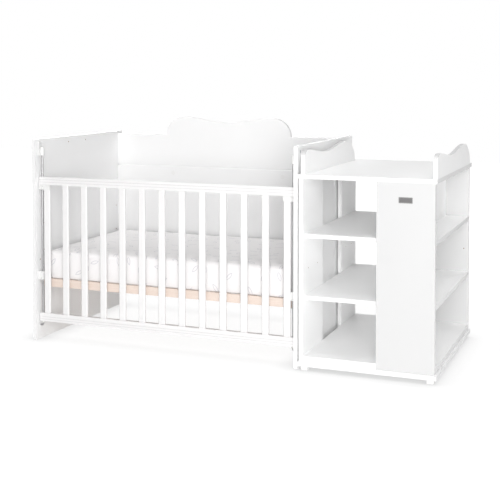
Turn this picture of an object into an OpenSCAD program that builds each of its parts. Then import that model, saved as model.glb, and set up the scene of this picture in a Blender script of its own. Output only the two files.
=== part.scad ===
// Crib with an attached changer: a slatted drop side on two guide rods, a solid back with a
// wavy crest, a mattress on a slatted base, and an open shelf unit that carries the changer top.
// Frame: +X runs along the crib towards the changer, +Y to the back, +Z up.
// The origin is the bottom centre of the whole object's bounding box.

/* [Mattress] */
// Length of the mattress
mattress_len = 1142; // [1000:2:1300]
// Width of the mattress
mattress_width = 660; // [560:10:750]
// Thickness of the mattress at its edge
mattress_thick = 120; // [80:5:150]
// Rise of the mattress top towards its middle
mattress_crown = 6; // [2:1:12]
// Roundness of the mattress edges
mattress_edge_r = 22; // [10:1:35]
// Roundness of the mattress corners seen from above
mattress_corner_r = 40; // [40:1:80]
// How far the side walls are drawn in at their edges
mattress_draw = 4; // [0:1:8]
// Free space at each end of the mattress
mattress_end_gap = 6; // [6:1:15]
// Free space at each side of the mattress
mattress_side_gap = 6; // [6:1:15]

/* [Crib ends and back] */
// Thickness of the coated boards
board_t = 16; // [15:1:19]
// Height of the end panels
end_panel_h = 854; // [850:2:950]
// How far the drop side stands behind the front edges of the end panels
side_setback = 24; // [18:1:40]
// How far the back boards stand in front of the back edges of the end panels
back_setback = 22; // [15:1:40]
// Height of the lowest rail and of the back above the floor
ground_gap = 77; // [74:1:90]
// Thickness of the lower back board
lower_back_t = 20; // [17:1:24]
// Height of the joint between the two back boards
back_joint_z = 694; // [660:2:700]
// Chamfer along the top front edge of the lower back board
lower_back_chamfer = 6; // [2:1:8]
// How far the upper back board ends below the tops of the end panels
upper_back_drop = 12; // [0:1:25]
// Width of the crest
crest_width = 628; // [400:4:800]
// Height of the crest above the upper back board
crest_h = 85; // [50:1:110]
// Depth of the dip in the middle of the crest
crest_dip = 23; // [10:1:40]
// Width of each round shoulder of the crest
crest_shoulder = 90; // [60:2:120]

/* [Drop side] */
// Thickness of the top and bottom rails
rail_t = 20; // [18:1:26]
// Height of the top rail
top_rail_h = 35; // [30:1:45]
// Height of the bottom rail
bottom_rail_h = 36; // [30:1:45]
// Height of the top rail's upper edge with the side lowered
side_top_z = 695; // [670:1:700]
// How far the side slides up
side_lift = 88; // [60:1:90]
// Width of a slat
slat_w = 30; // [25:1:35]
// Thickness of a slat
slat_t = 12; // [10:1:15]
// Number of slats between the two stiles
slat_count = 11; // [9:1:12]
// Depth that slats and stiles enter the rails
tenon_len = 8; // [5:1:12]
// Free width between an end panel and the nearest stile
stile_gap = 22; // [22:1:28]
// Gap between a rail's end and the end panel
rail_end_gap = 3; // [2:1:4]
// Rounding of the top rail's upper edges
rail_top_r = 8; // [4:1:9]
// Rounding of the other rail edges
rail_edge_r = 2; // [1:0.5:4]
// Rounding of the slat edges
slat_edge_r = 5; // [1:0.5:5.5]
// Width and depth of the two grooves along the front of each rail
groove = 1.2; // [0.6:0.2:2]

/* [Guide rods and catches] */
// Diameter of the steel guide rods
rod_d = 8; // [6:1:9]
// Distance of a rod's axis from the end panel
rod_offset = 13; // [12.5:0.5:14]
// Running clearance round a rod
rod_clearance = 0.1; // [0.05:0.05:0.3]
// Height of a rod's foot, which enters the end panel
rod_foot_z = 59; // [50:1:60]
// Centre radius of the bend at a rod's foot
rod_bend_r = 9; // [8:0.5:10]
// Height of the rubber stop under the bottom rail
rod_stop_h = 7; // [4:1:8]
// Outer diameter of the rubber stop
rod_stop_d = 15; // [12:1:17]
// Height of the socket that holds a rod's top
socket_h = 27; // [20:1:32]
// Outer diameter of that socket
socket_d = 18; // [15:1:20]
// Thickness of the bracket plates
plate_t = 3; // [2:0.5:4]
// Width of the bracket plates
bracket_w = 24; // [18:1:26]
// Height of the bracket bolt above the underside of the bracket
bracket_bolt_up = 48; // [40:1:50]
// Underside of the clip that steadies a rod
clip_z = 256; // [240:2:400]
// Height of that clip
clip_h = 34; // [24:1:40]
// Height of the catch housing under the top rail
catch_h = 20; // [18:1:26]
// Travel of a catch button
catch_travel = 3; // [2:0.5:3.5]
// How far a catch button stands out in front
catch_proud = 4; // [3.5:0.5:6]
// Sliding clearance round a catch button
catch_clearance = 0.3; // [0.2:0.1:0.5]

/* [Bed base] */
// Underside of the bed base in its lowest place
base_z = 222; // [205:1:240]
// Height of the base's frame rails
base_rail_h = 34; // [28:1:40]
// Thickness of the base's frame rails
base_rail_t = 20; // [16:1:24]
// Number of slats in the base
base_slat_count = 9; // [7:1:10]
// Width of a base slat
base_slat_w = 70; // [50:1:80]
// Thickness of a base slat
base_slat_t = 10; // [8:1:12]
// Gap between the base and the walls round it
base_gap = 6; // [5:1:10]
// Gap between the base and the end panels
base_end_gap = 3; // [2.5:0.5:5]
// Height from one place of the base to the next
base_step = 114; // [100:1:120]
// Thickness of the angle irons that carry the base
iron_t = 2; // [1.5:0.5:2.5]
// Width of the angle irons
iron_w = 28; // [24:1:32]
// Reach of the angle irons under the base
iron_reach = 36; // [30:1:50]
// Distance of the angle irons' bolts from the drop side and from the back
iron_inset = 18; // [17:1:25]

/* [Changer] */
// Width of the changer
changer_w = 532; // [480:2:650]
// Depth of the changer
changer_depth = 752; // [700:2:758]
// Height of the changer top
changer_h = 750; // [740:2:780]
// Gap between the crib and the changer top
changer_gap = 4; // [2:1:6]
// How far the top and the base board stand out at the front and on the right
changer_edge = 8; // [6:1:12]
// How far the uprights stand in from the left ends of the top and the base board
upright_inset = 4; // [2:1:12]
// Depth of the front upright next to the crib
front_upright_w = 254; // [180:2:280]
// Depth of the rear upright next to the crib
rear_upright_w = 224; // [180:2:280]
// Width of the front panel and of the back panel
front_panel_w = 218; // [180:2:240]
// Thickness of the front panel
front_panel_t = 18; // [16:1:20]
// Height of the feet
foot_h = 17; // [12:1:30]
// Side of the square feet
foot_size = 26; // [20:1:35]
// Distance of the feet from the ends of the base board
foot_inset = 11; // [8:1:20]
// Thickness of the floor board
floor_t = 23; // [16:1:26]
// Top of the upper shelf
upper_shelf_z = 521; // [480:1:560]
// Top of the lower shelf
lower_shelf_z = 284; // [260:1:310]
// Distance of the divider from the front panel's left edge
divider_inset = 103; // [60:1:150]
// Height of the wings at their highest point
wing_h = 93; // [80:1:120]
// Height of the wings' front hump
wing_front_h = 90; // [78:1:110]
// Height of the wings at their dip
wing_dip_h = 69; // [50:1:76]
// Length of the wings
wing_len = 700; // [600:2:700]
// Distance of the wings from the front edge of the top
wing_front_inset = 6; // [0:1:20]
// Distance of the left wing from the left edge of the top
wing_left_inset = 12; // [4:1:20]
// Width of the blank plate on the front panel
plate_w = 52; // [40:1:70]
// Height of the blank plate
plate_h = 22; // [15:1:30]
// Thickness of the blank plate
plate_thick = 1.2; // [0.8:0.2:2]
// Distance of the blank plate's middle below the changer top
plate_drop = 81; // [50:1:150]

/* [Fittings] */
// Diameter of the joining bolts
bolt_d = 6; // [5:1:7]
// Diameter of the flush bolt heads
head_d = 13; // [10:1:14]
// Thickness of the bolt heads
head_t = 2.5; // [2:0.5:3]
// Depth that a bolt goes into the piece that it holds
bolt_grip = 30; // [20:1:40]
// Diameter of the ready-made holes in the end panels
ready_hole_d = 6; // [5:0.5:7]
// Depth of those holes
ready_hole_depth = 11; // [8:1:12]
// Distance between the two ready-made holes near the top of an end panel
ready_hole_spacing = 147; // [128:1:160]
// Distance of those two holes below the panel's top
ready_hole_drop = 25; // [18:1:40]
// Diameter of the wooden dowels
dowel_d = 8; // [6:1:9]
// Depth of a dowel in the face of a board
dowel_face = 10; // [8:1:11]
// Depth of a dowel in the edge of a board
dowel_edge = 22; // [16:1:28]
// Diameter of the shelf pins
pin_d = 5; // [4:0.5:6]
// Depth of a shelf pin in its board, and its reach under the shelf
pin_len = 8; // [6:1:10]
// Distance of the shelf pins from the edges of the uprights
pin_inset = 68; // [50:1:70]
// Distance of the shelf pins from the edges of the front panel and the back panel
panel_pin_inset = 20; // [15:1:60]
// Rise from the lower shelf's pin holes to the spare ones
spare_pin_rise = 117; // [60:1:150]
// Diameter of the cover caps on the lower back board
cap_d = 20; // [14:1:24]
// Thickness of the cover caps
cap_t = 1.2; // [0.8:0.2:2]

/* [Hidden] */
$fn = 48;

SLAT_NODES = [for (i = [1:slat_count]) str("drop_slat_", i)];

// A hair that lets cutting shapes pass through faces
cut = 1;
// Gap under the mattress
rest_gap = 0.3;

// Crib, measured from the left panel's inner face and from the panels' front edges
crib_len = mattress_len + 2 * mattress_end_gap;
side_back_y = side_setback + rail_t;
lower_back_y = side_back_y + mattress_width + 2 * mattress_side_gap;
back_plane_y = lower_back_y + lower_back_t;
panel_depth = back_plane_y + back_setback;
upper_back_z = end_panel_h - upper_back_drop;

// Whole object
overall_len = 2 * board_t + crib_len + changer_gap + changer_w;
changer_front = back_plane_y - changer_depth;
left_x = -overall_len / 2 + board_t;
right_x = left_x + crib_len;
front_y = -(panel_depth + min(0, changer_front)) / 2;
changer_x = right_x + board_t + changer_gap;

// Drop side
rail_len = crib_len - 2 * rail_end_gap;
slat_y = side_setback + (rail_t - slat_t) / 2;
rod_y = side_setback + rail_t / 2;
bottom_rail_z = ground_gap + bottom_rail_h;
top_rail_z = side_top_z - top_rail_h;
slat_pitch = (crib_len - 2 * stile_gap - slat_w) / (slat_count + 1);
lift_clearance = 2;
// Places of the grooves, as shares of a rail's height
top_groove_shares = [1 / 3, 2 / 3];
bottom_groove_shares = [0.27, 0.56];

// Guide rods and catches
bore_d = rod_d + 2 * rod_clearance;
socket_z = side_top_z + side_lift + lift_clearance;
socket_roof = 7;
rod_top_z = socket_z + socket_h - socket_roof;
bush_wall = 2.5;
bush_d = rod_d + 2 * bush_wall;
rail_hole_d = rod_d + 1;
housing_end_x = stile_gap - catch_clearance;
housing_back = 3;
// Half width of a catch button's eye, and the walls round that eye and round the button's slot
catch_eye = rod_d / 2 + catch_clearance;
eye_wall = 2.1;
slot_wall = 5.3;
catch_half_w = catch_eye + eye_wall + catch_clearance;
catch_half_h = catch_h / 2 - slot_wall;
catch_z = top_rail_z - catch_h / 2;

// Bed base
base_front_y = side_back_y + base_gap;
base_back_y = lower_back_y - base_gap;
base_top_z = base_z + base_rail_h;
base_left_x = base_end_gap;
base_right_x = crib_len - base_end_gap;
base_inner_len = base_right_x - base_left_x - 2 * base_rail_t;
base_slat_gap = (base_inner_len - base_slat_count * base_slat_w) / (base_slat_count + 1);
base_ledge = base_rail_t / 2;
iron_front_y = side_back_y + iron_inset;
iron_back_y = lower_back_y - iron_inset;
iron_bolt_up = 8;
iron_margin = 14;
iron_bolt_z = base_top_z + iron_bolt_up;

// End panels: how far the ready-made holes stand in front of the panel's middle line, and
// the rise from the rod clip to its spare hole
ready_hole_shift = 40;
spare_clip_rise = 84;

// Changer, measured from its own front left corner
deck_z = changer_h - board_t;
plinth_z = foot_h + board_t;
upright_x0 = upright_inset;
upright_x1 = upright_inset + board_t;
inner_right = changer_w - changer_edge;
panel_left = inner_right - front_panel_w;
shelf_front = changer_edge + front_panel_t;
shelf_back = changer_depth - board_t;
front_upright_end = changer_edge + front_upright_w;
rear_upright_y = changer_depth - rear_upright_w;
divider_x = panel_left + divider_inset;
wing_right_x = changer_w - board_t;
link_gap = changer_gap + upright_inset;
upper_pin_z = upper_shelf_z - board_t - pin_d / 2;
lower_pin_z = lower_shelf_z - board_t - pin_d / 2;
dowel_inset = 30;
divider_dowel_inset = 54;
wing_dowel_inset = 112;
link_z = [160, 600];
link_inset = 114;
// Board left whole in front of a link bolt's end
link_cover = 6;
link_end_x = upright_x1 - link_cover;
back_bolt_z = [200, 600];
upper_bolt_inset = 27;
cap_inset = 300;
cap_drop = 34;

white = "#F5F5F3";
plastic = "#FBFBFA";
beech = "#E5C29A";
steel = "#B9BDC1";
dark_metal = "#5B5D60";
rubber = "#D9D9D6";

// ---------------------------------------------------------------- frames and shapes

// Crib coordinates: x from the left panel's inner face, y from the panels' front edges
module in_crib() translate([left_x, front_y, 0]) children();

// One end of the crib: x runs inwards from that panel's inner face
module at_end(side) {
    if (side == "left") translate([left_x, front_y, 0]) children();
    if (side == "right") translate([right_x, front_y, 0]) mirror([1, 0, 0]) children();
}

// Changer coordinates: x and y from its front left corner
module in_changer() translate([changer_x, front_y + changer_front, 0]) children();

module block(x0, x1, y0, y1, z0, z1)
    translate([x0, y0, z0]) cube([x1 - x0, y1 - y0, z1 - z0]);

module rod_x(x0, x1, y, z, d) translate([x0, y, z]) rotate([0, 90, 0]) cylinder(d = d, h = x1 - x0);

module rod_along_y(x, y0, y1, z, d)
    translate([x, y1, z]) rotate([90, 0, 0]) cylinder(d = d, h = y1 - y0);

module rod_z(x, y, z0, z1, d) translate([x, y, z0]) cylinder(d = d, h = z1 - z0);

// Cross-section with round corners: low_r at the bottom and high_r at the top
module round_section(w, h, low_r, high_r) {
    translate([0, low_r]) square([w, h - low_r - high_r]);
    translate([low_r, 0]) square([w - 2 * low_r, h - high_r]);
    translate([high_r, low_r]) square([w - 2 * high_r, h - low_r]);
    for (x = [low_r, w - low_r]) translate([x, low_r]) circle(r = low_r);
    for (x = [high_r, w - high_r]) translate([x, h - high_r]) circle(r = high_r);
}

// Points of a half cosine wave from [u0, v0] to [u1, v1], without its first point
function wave(u0, v0, u1, v1, steps) =
    [for (i = [1:steps]) [u0 + (u1 - u0) * i / steps,
                          v0 + (v1 - v0) * (1 - cos(180 * i / steps)) / 2]];

// Points of a quarter ellipse about [u, v] from angle a0 to a1
function oval(u, v, ru, rv, a0, a1, steps) =
    [for (i = [0:steps]) let (a = a0 + (a1 - a0) * i / steps) [u + ru * cos(a), v + rv * sin(a)]];

// ---------------------------------------------------------------- crib ends and back

// A flush bolt with a hexagon socket: its head starts at x0 and it runs towards +x
module flush_bolt(x0, x1, y, z) {
    socket_d = bolt_d - 1;
    difference() {
        union() {
            rod_x(x0, x0 + head_t, y, z, head_d);
            rod_x(x0, x1, y, z, bolt_d);
        }
        translate([x0 - cut, y, z]) rotate([0, 90, 0]) cylinder(d = socket_d, h = head_t, $fn = 6);
    }
}

module bolt_hole(x0, x1, y, z) {
    rod_x(x0 - cut, x0 + head_t, y, z, head_d);
    rod_x(x0, x1, y, z, bolt_d);
}

function back_bolt_places() = concat(
    [for (z = back_bolt_z) [(lower_back_y + back_plane_y) / 2, z]],
    [for (z = [back_joint_z + 2 * upper_bolt_inset, upper_back_z - upper_bolt_inset])
        [back_plane_y - board_t / 2, z]]);

function link_places() = [for (z = link_z, y = [link_inset, changer_depth - link_inset]) [y, z]];

function iron_places() = [for (y = [iron_front_y, iron_back_y]) y];

module end_panel(side) {
    socket_bolt_z = socket_z + bracket_bolt_up;
    ready_y = panel_depth / 2 - ready_hole_shift;
    spare_hole_z = clip_z + spare_clip_rise;
    color(white) at_end(side) difference() {
        block(-board_t, 0, 0, panel_depth, 0, end_panel_h);
        for (p = back_bolt_places()) bolt_hole(-board_t, cut, p[0], p[1]);
        bolt_hole(-board_t, cut, rod_y, socket_bolt_z);
        rod_x(-ready_hole_depth, cut, rod_y, rod_foot_z, rod_d);
        rod_x(-ready_hole_depth, cut, rod_y, clip_z + clip_h / 2, rod_d);
        rod_x(-ready_hole_depth, cut, rod_y, spare_hole_z, ready_hole_d);
        for (y = iron_places(), i = [0:2])
            rod_x(-ready_hole_depth, cut, y, iron_bolt_z + i * base_step, bolt_d);
        for (i = [-1, 1])
            rod_x(-ready_hole_depth, cut, ready_y + i * ready_hole_spacing / 2,
                end_panel_h - ready_hole_drop, ready_hole_d);
        if (side == "right") for (p = link_places()) {
            rod_x(-board_t - cut, cut, p[0] + changer_front, p[1], bolt_d);
            rod_x(-head_t, cut, p[0] + changer_front, p[1], head_d);
        }
    }
}

// Outline of the crest above the upper back board, x from its middle
function crest_outline() = let (
    half = crest_width / 2,
    peak = half - crest_shoulder,
    low = crest_h - crest_dip)
    concat(
        oval(-peak, 0, crest_shoulder, crest_h, 180, 90, 16),
        wave(-peak, crest_h, 0, low, 14),
        wave(0, low, peak, crest_h, 14),
        oval(peak, 0, crest_shoulder, crest_h, 90, 0, 16));

module dowel_z(x, y, z0, z1) rod_z(x, y, z0, z1, dowel_d);

function back_dowel_x() = [for (i = [1:3]) crib_len * i / 4];

module upper_back_board() {
    overlap = 20;
    color(white) in_crib() difference() {
        union() {
            block(0, crib_len, back_plane_y - board_t, back_plane_y, back_joint_z, upper_back_z);
            translate([crib_len / 2, back_plane_y, upper_back_z]) rotate([90, 0, 0])
                linear_extrude(board_t) polygon(concat(crest_outline(),
                    [[crest_width / 2, -overlap], [-crest_width / 2, -overlap]]));
        }
        for (x = back_dowel_x())
            dowel_z(x, back_plane_y - board_t / 2, back_joint_z - cut, back_joint_z + dowel_edge);
        back_end_holes();
    }
}

module lower_back_board() {
    c = lower_back_chamfer;
    notch_w = 18;
    notch_h = 7;
    notch_depth = 10;
    color(white) in_crib() difference() {
        translate([0, lower_back_y, ground_gap]) rotate([90, 0, 90]) linear_extrude(crib_len)
            polygon([[0, 0], [lower_back_t, 0], [lower_back_t, back_joint_z - ground_gap],
                [c, back_joint_z - ground_gap], [0, back_joint_z - ground_gap - c]]);
        for (x = back_dowel_x())
            dowel_z(x, back_plane_y - board_t / 2, back_joint_z - dowel_edge, back_joint_z + cut);
        for (x = [-cut, crib_len - notch_w])
            translate([x, lower_back_y - cut, back_joint_z - notch_h])
                cube([notch_w + cut, notch_depth + cut, notch_h + cut]);
        back_end_holes();
    }
}

// Holes for the bolts that enter the back boards from both end panels
module back_end_holes() {
    for (p = back_bolt_places()) {
        rod_x(-cut, bolt_grip, p[0], p[1], bolt_d);
        rod_x(crib_len - bolt_grip, crib_len + cut, p[0], p[1], bolt_d);
    }
}

// Bolts that enter the back boards and hold the rod sockets
module panel_bolts() color(steel) for (side = ["left", "right"]) at_end(side) {
    socket_bolt_z = socket_z + bracket_bolt_up;
    for (p = back_bolt_places()) flush_bolt(-board_t, bolt_grip, p[0], p[1]);
    difference() {
        flush_bolt(-board_t, plate_t, rod_y, socket_bolt_z);
        rod_x(plate_t - head_t, plate_t + cut, rod_y, socket_bolt_z, bolt_d - 2);
    }
}

module cover_caps() color(plastic) in_crib() for (x = [cap_inset, crib_len - cap_inset])
    rod_along_y(x, lower_back_y - cap_t, lower_back_y, back_joint_z - cap_drop, cap_d);

// ---------------------------------------------------------------- drop side

function stile_x(i) = stile_gap + i * slat_pitch;

// Upright bar number i of the drop side, counted from the left stile
module side_bar(i, z0, z1) translate([stile_x(i), slat_y, z0])
    linear_extrude(z1 - z0) round_section(slat_w, slat_t, slat_edge_r, slat_edge_r);

module all_bars() for (i = [0:slat_count + 1])
    side_bar(i, bottom_rail_z - tenon_len, top_rail_z + tenon_len);

module rail_body(z0, h, high_r) translate([rail_end_gap, side_setback, z0]) rotate([90, 0, 90])
    linear_extrude(rail_len) round_section(rail_t, h, rail_edge_r, high_r);

// Grooves along the front of a rail whose lower edge is at z0
module front_grooves(z0, h, shares) for (z = [for (share = shares) z0 + share * h])
    block(0, crib_len, side_setback - cut, side_setback + groove, z - groove / 2, z + groove / 2);

module top_rail() color(white) in_crib() difference() {
    rail_body(top_rail_z, top_rail_h, rail_top_r);
    all_bars();
    front_grooves(top_rail_z, top_rail_h, top_groove_shares);
    for (x = [rod_offset, crib_len - rod_offset])
        rod_z(x, rod_y, top_rail_z - cut, side_top_z + cut, rail_hole_d);
}

module bottom_rail() color(white) in_crib() difference() {
    rail_body(ground_gap, bottom_rail_h, rail_edge_r);
    all_bars();
    front_grooves(ground_gap, bottom_rail_h, bottom_groove_shares);
    for (x = [rod_offset, crib_len - rod_offset])
        rod_z(x, rod_y, ground_gap - cut, bottom_rail_z + cut, bush_d);
}

module side_upright(i) color(white) in_crib()
    side_bar(i, bottom_rail_z - tenon_len, top_rail_z + tenon_len);

// Plastic bushes in the ends of the bottom rail
module rail_bushes() color(plastic) for (side = ["left", "right"]) at_end(side) difference() {
    rod_z(rod_offset, rod_y, ground_gap, bottom_rail_z, bush_d);
    rod_z(rod_offset, rod_y, ground_gap - cut, bottom_rail_z + cut, bore_d);
}

// Housing under each end of the top rail: it runs on the rod and holds the catch button
module catch_housing(side) {
    y0 = side_setback;
    y1 = side_back_y + housing_back;
    cheek_y = slat_y - catch_clearance;
    back_wall = 2;
    color(plastic) at_end(side) difference() {
        union() {
            block(rail_end_gap, housing_end_x, y0, y1, top_rail_z - catch_h, top_rail_z);
            block(housing_end_x - cut, stile_gap + slat_w, y0, cheek_y, top_rail_z - catch_h, top_rail_z);
        }
        rod_z(rod_offset, rod_y, top_rail_z - catch_h - cut, top_rail_z + cut, bore_d);
        block(rod_offset - catch_half_w, rod_offset + catch_half_w, y0 - cut, y1 - back_wall,
            catch_z - catch_half_h, catch_z + catch_half_h);
    }
}

// Button that slides in the housing; its eye surrounds the rod
module catch_button(side) {
    c = catch_clearance;
    eye_front = rod_y - catch_eye - catch_travel;
    eye_back = rod_y + catch_eye;
    color(plastic) at_end(side) difference() {
        block(rod_offset - catch_half_w + c, rod_offset + catch_half_w - c,
            side_setback - catch_proud, eye_back + eye_wall,
            catch_z - catch_half_h + c, catch_z + catch_half_h - c);
        block(rod_offset - catch_eye, rod_offset + catch_eye, eye_front, eye_back,
            catch_z - catch_h, catch_z + catch_h);
    }
}

// ---------------------------------------------------------------- guide rods

module guide_rod(side) color(steel) at_end(side) {
    bend_x = rod_offset - rod_bend_r;
    bend_z = rod_foot_z + rod_bend_r;
    rod_z(rod_offset, rod_y, bend_z, rod_top_z, rod_d);
    translate([bend_x, rod_y, bend_z]) rotate([90, 0, 0]) rotate([0, 0, -90])
        rotate_extrude(angle = 90) translate([rod_bend_r, 0]) circle(d = rod_d);
    rod_x(-ready_hole_depth, bend_x, rod_y, rod_foot_z, rod_d);
}

// Socket that holds a rod's top, with the plate that bolts to the end panel
module rod_socket(side) {
    y0 = rod_y - bracket_w / 2;
    bolt_z = socket_z + bracket_bolt_up;
    plate_top = bolt_z + bracket_w / 2;
    web_t = 10;
    color(plastic) at_end(side) difference() {
        union() {
            block(0, plate_t, y0, y0 + bracket_w, socket_z, bolt_z);
            rod_x(0, plate_t, rod_y, bolt_z, bracket_w);
            block(0, rod_offset, rod_y - web_t / 2, rod_y + web_t / 2, socket_z, socket_z + socket_h);
            rod_z(rod_offset, rod_y, socket_z, socket_z + socket_h, socket_d);
            translate([rod_offset, rod_y, socket_z + socket_h]) intersection() {
                sphere(d = socket_d);
                translate([-socket_d, -socket_d, 0]) cube(2 * socket_d);
            }
        }
        rod_z(rod_offset, rod_y, socket_z - cut, rod_top_z, rod_d);
        rod_x(-cut, plate_t + cut, rod_y, bolt_z, bolt_d);
    }
}

// Clip that steadies the rod between the rails: a peg holds it in the end panel
module rod_clip(side) {
    x1 = rod_offset + rod_d;
    screw_d = 5;
    screw_depth = 4;
    screw_z = clip_z + 6;
    y0 = rod_y - bracket_w / 2;
    color(plastic) at_end(side) difference() {
        union() {
            block(0, x1, y0, y0 + bracket_w, clip_z, clip_z + clip_h);
            rod_x(-ready_hole_depth, 0, rod_y, clip_z + clip_h / 2, rod_d);
        }
        rod_z(rod_offset, rod_y, clip_z - cut, clip_z + clip_h + cut, rod_d);
        rod_along_y(rod_offset, y0 - cut, y0 + screw_depth, screw_z, screw_d);
    }
}

module rod_stops() color(rubber) for (side = ["left", "right"]) at_end(side) difference() {
    rod_z(rod_offset, rod_y, ground_gap - rod_stop_h, ground_gap, rod_stop_d);
    rod_z(rod_offset, rod_y, ground_gap - rod_stop_h - cut, ground_gap + cut, rod_d);
}

// ---------------------------------------------------------------- bed base and mattress

// Long rail of the base; its ledge faces the middle of the bed and carries the slats
module base_long_rail(y0, ledge_y) color(beech) in_crib() difference() {
    block(base_left_x, base_right_x, y0, y0 + base_rail_t, base_z, base_top_z);
    block(base_left_x + base_rail_t, base_right_x - base_rail_t, ledge_y, ledge_y + base_ledge,
        base_top_z - base_slat_t, base_top_z + cut);
}

module base_front_rail() base_long_rail(base_front_y, base_front_y + base_rail_t - base_ledge);

module base_back_rail() base_long_rail(base_back_y - base_rail_t, base_back_y - base_rail_t);

module base_end_rail(side) color(beech) at_end(side)
    block(base_end_gap, base_end_gap + base_rail_t, base_front_y + base_rail_t,
        base_back_y - base_rail_t, base_z, base_top_z);

module base_slats() color(beech) in_crib() for (i = [0:base_slat_count - 1]) {
    x = base_left_x + base_rail_t + base_slat_gap + i * (base_slat_w + base_slat_gap);
    block(x, x + base_slat_w, base_front_y + base_rail_t - base_ledge,
        base_back_y - base_rail_t + base_ledge, base_top_z - base_slat_t, base_top_z);
}

module base_irons() color(steel) for (side = ["left", "right"], y = iron_places()) at_end(side)
    difference() {
        union() {
            block(0, iron_t, y - iron_w / 2, y + iron_w / 2, base_z - iron_t, iron_bolt_z + iron_margin);
            block(0, iron_reach, y - iron_w / 2, y + iron_w / 2, base_z - iron_t, base_z);
        }
        rod_x(-cut, iron_t + cut, y, iron_bolt_z, bolt_d);
    }

module base_bolts() color(steel) for (side = ["left", "right"], y = iron_places())
    at_end(side) mirror([1, 0, 0]) flush_bolt(-iron_t - head_t, ready_hole_depth, y, iron_bolt_z);

// One closed ring of the mattress: a rounded rectangle drawn in by inset, at height z
CORNER_STEPS = 7;
RING = 4 * (CORNER_STEPS + 1);

function mattress_ring(inset, z) = let (
    r = max(mattress_corner_r - inset, 4),
    half_x = mattress_len / 2 - inset - r,
    half_y = mattress_width / 2 - inset - r)
    [for (q = [0:3], i = [0:CORNER_STEPS]) let (a = 90 * q + 90 * i / CORNER_STEPS)
        [(q == 0 || q == 3 ? half_x : -half_x) + r * cos(a), (q < 2 ? half_y : -half_y) + r * sin(a), z]];

// Inset of the side wall at height z: drawn in at its edges, full in its middle
function side_inset(z) = mattress_draw * pow(2 * z / mattress_thick - 1, 2);

// [inset, height] of each ring, from the bottom face round the side to the crown
function mattress_profile() = let (
    r = mattress_edge_r,
    top = mattress_thick,
    crown_run = 0.34 * mattress_width)
    concat(
        [for (i = [0:4]) let (a = 90 * i / 4) [side_inset(r) + r * (1 - sin(a)), r * (1 - cos(a))]],
        [for (i = [1:5]) let (z = r + (top - 2 * r) * i / 6) [side_inset(z), z]],
        [for (i = [0:4]) let (a = 90 * i / 4)
            [side_inset(r) + r * (1 - cos(a)), top - r * (1 - sin(a))]],
        [for (i = [1:6]) let (u = i / 6)
            [side_inset(r) + r + crown_run * u, top + mattress_crown * sin(90 * u)]]);

module mattress() {
    profile = mattress_profile();
    rings = len(profile);
    points = [for (p = profile) each mattress_ring(p[0], p[1])];
    walls = [for (k = [0:rings - 2], i = [0:RING - 1]) let (
        a = k * RING + i,
        b = k * RING + (i + 1) % RING)
        each [[a, a + RING, b], [b, a + RING, b + RING]]];
    bottom = [for (i = [1:RING - 2]) [0, i, i + 1]];
    last = (rings - 1) * RING;
    top = [for (i = [1:RING - 2]) [last, last + i + 1, last + i]];
    color("#F8F8F6") in_crib()
        translate([crib_len / 2, (side_back_y + lower_back_y) / 2, base_top_z + rest_gap])
            polyhedron(points, concat(bottom, walls, top));
}

// ---------------------------------------------------------------- changer

// [x, y] of the dowels that join the uprights and panels to the top and to the base board
function joint_places() = let (
    upright_cx = (upright_x0 + upright_x1) / 2,
    front_cy = changer_edge + front_panel_t / 2,
    back_cy = changer_depth - board_t / 2)
    concat(
        [for (y = [changer_edge + dowel_inset, front_upright_end - dowel_inset]) [upright_cx, y]],
        [for (y = [rear_upright_y + dowel_inset, changer_depth - dowel_inset]) [upright_cx, y]],
        [for (x = [panel_left + dowel_inset, inner_right - dowel_inset], y = [front_cy, back_cy])
            [x, y]]);

function divider_places() = [
    for (y = [shelf_front + divider_dowel_inset, shelf_back - divider_dowel_inset])
        [divider_x + board_t / 2, y]];

function wing_places() = [for (
    x = [wing_left_inset + board_t / 2, wing_right_x + board_t / 2],
    y = [wing_dowel_inset, wing_len / 2, wing_len - wing_dowel_inset]) [x, wing_front_inset + y]];

// Dowels in the edges of boards that stand between the base board and the top
module joint_dowels() for (p = joint_places()) {
    dowel_z(p[0], p[1], deck_z - dowel_edge, deck_z + dowel_face);
    dowel_z(p[0], p[1], plinth_z - dowel_face, plinth_z + dowel_edge);
}

module divider_dowels() for (p = divider_places()) {
    dowel_z(p[0], p[1], deck_z - dowel_edge, deck_z + dowel_face);
    dowel_z(p[0], p[1], upper_shelf_z - dowel_face, upper_shelf_z + dowel_edge);
}

module wing_dowel_set() for (p = wing_places())
    dowel_z(p[0], p[1], changer_h - dowel_face, changer_h + dowel_edge);

// Pins under a shelf at height z, half in the boards and half under the shelf
module pins_at(z) {
    reach = pin_len;
    for (y = [changer_edge + pin_inset, front_upright_end - pin_inset,
            rear_upright_y + pin_inset, changer_depth - pin_inset])
        rod_x(upright_x1 - pin_len, upright_x1 + reach, y, z, pin_d);
    for (x = [panel_left + panel_pin_inset, inner_right - panel_pin_inset]) {
        rod_along_y(x, shelf_front - pin_len, shelf_front + reach, z, pin_d);
        rod_along_y(x, shelf_back - reach, shelf_back + pin_len, z, pin_d);
    }
}

module pin_holes() for (z = [upper_pin_z, lower_pin_z, lower_pin_z + spare_pin_rise]) pins_at(z);

// Link bolts go through the crib's right panel and a spacer into an upright
module link_holes() for (p = link_places())
    rod_x(-link_gap, link_end_x, p[0], p[1], bolt_d);

module changer_feet() {
    corner_r = 3;
    color(plastic) in_changer()
        for (x = [foot_inset, changer_w - foot_inset - foot_size],
                y = [foot_inset, changer_depth - foot_inset - foot_size])
            translate([x, y, 0]) linear_extrude(foot_h)
                round_section(foot_size, foot_size, corner_r, corner_r);
}

module changer_base() color(white) in_changer() difference() {
    block(0, changer_w, 0, changer_depth, foot_h, plinth_z);
    joint_dowels();
}

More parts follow.
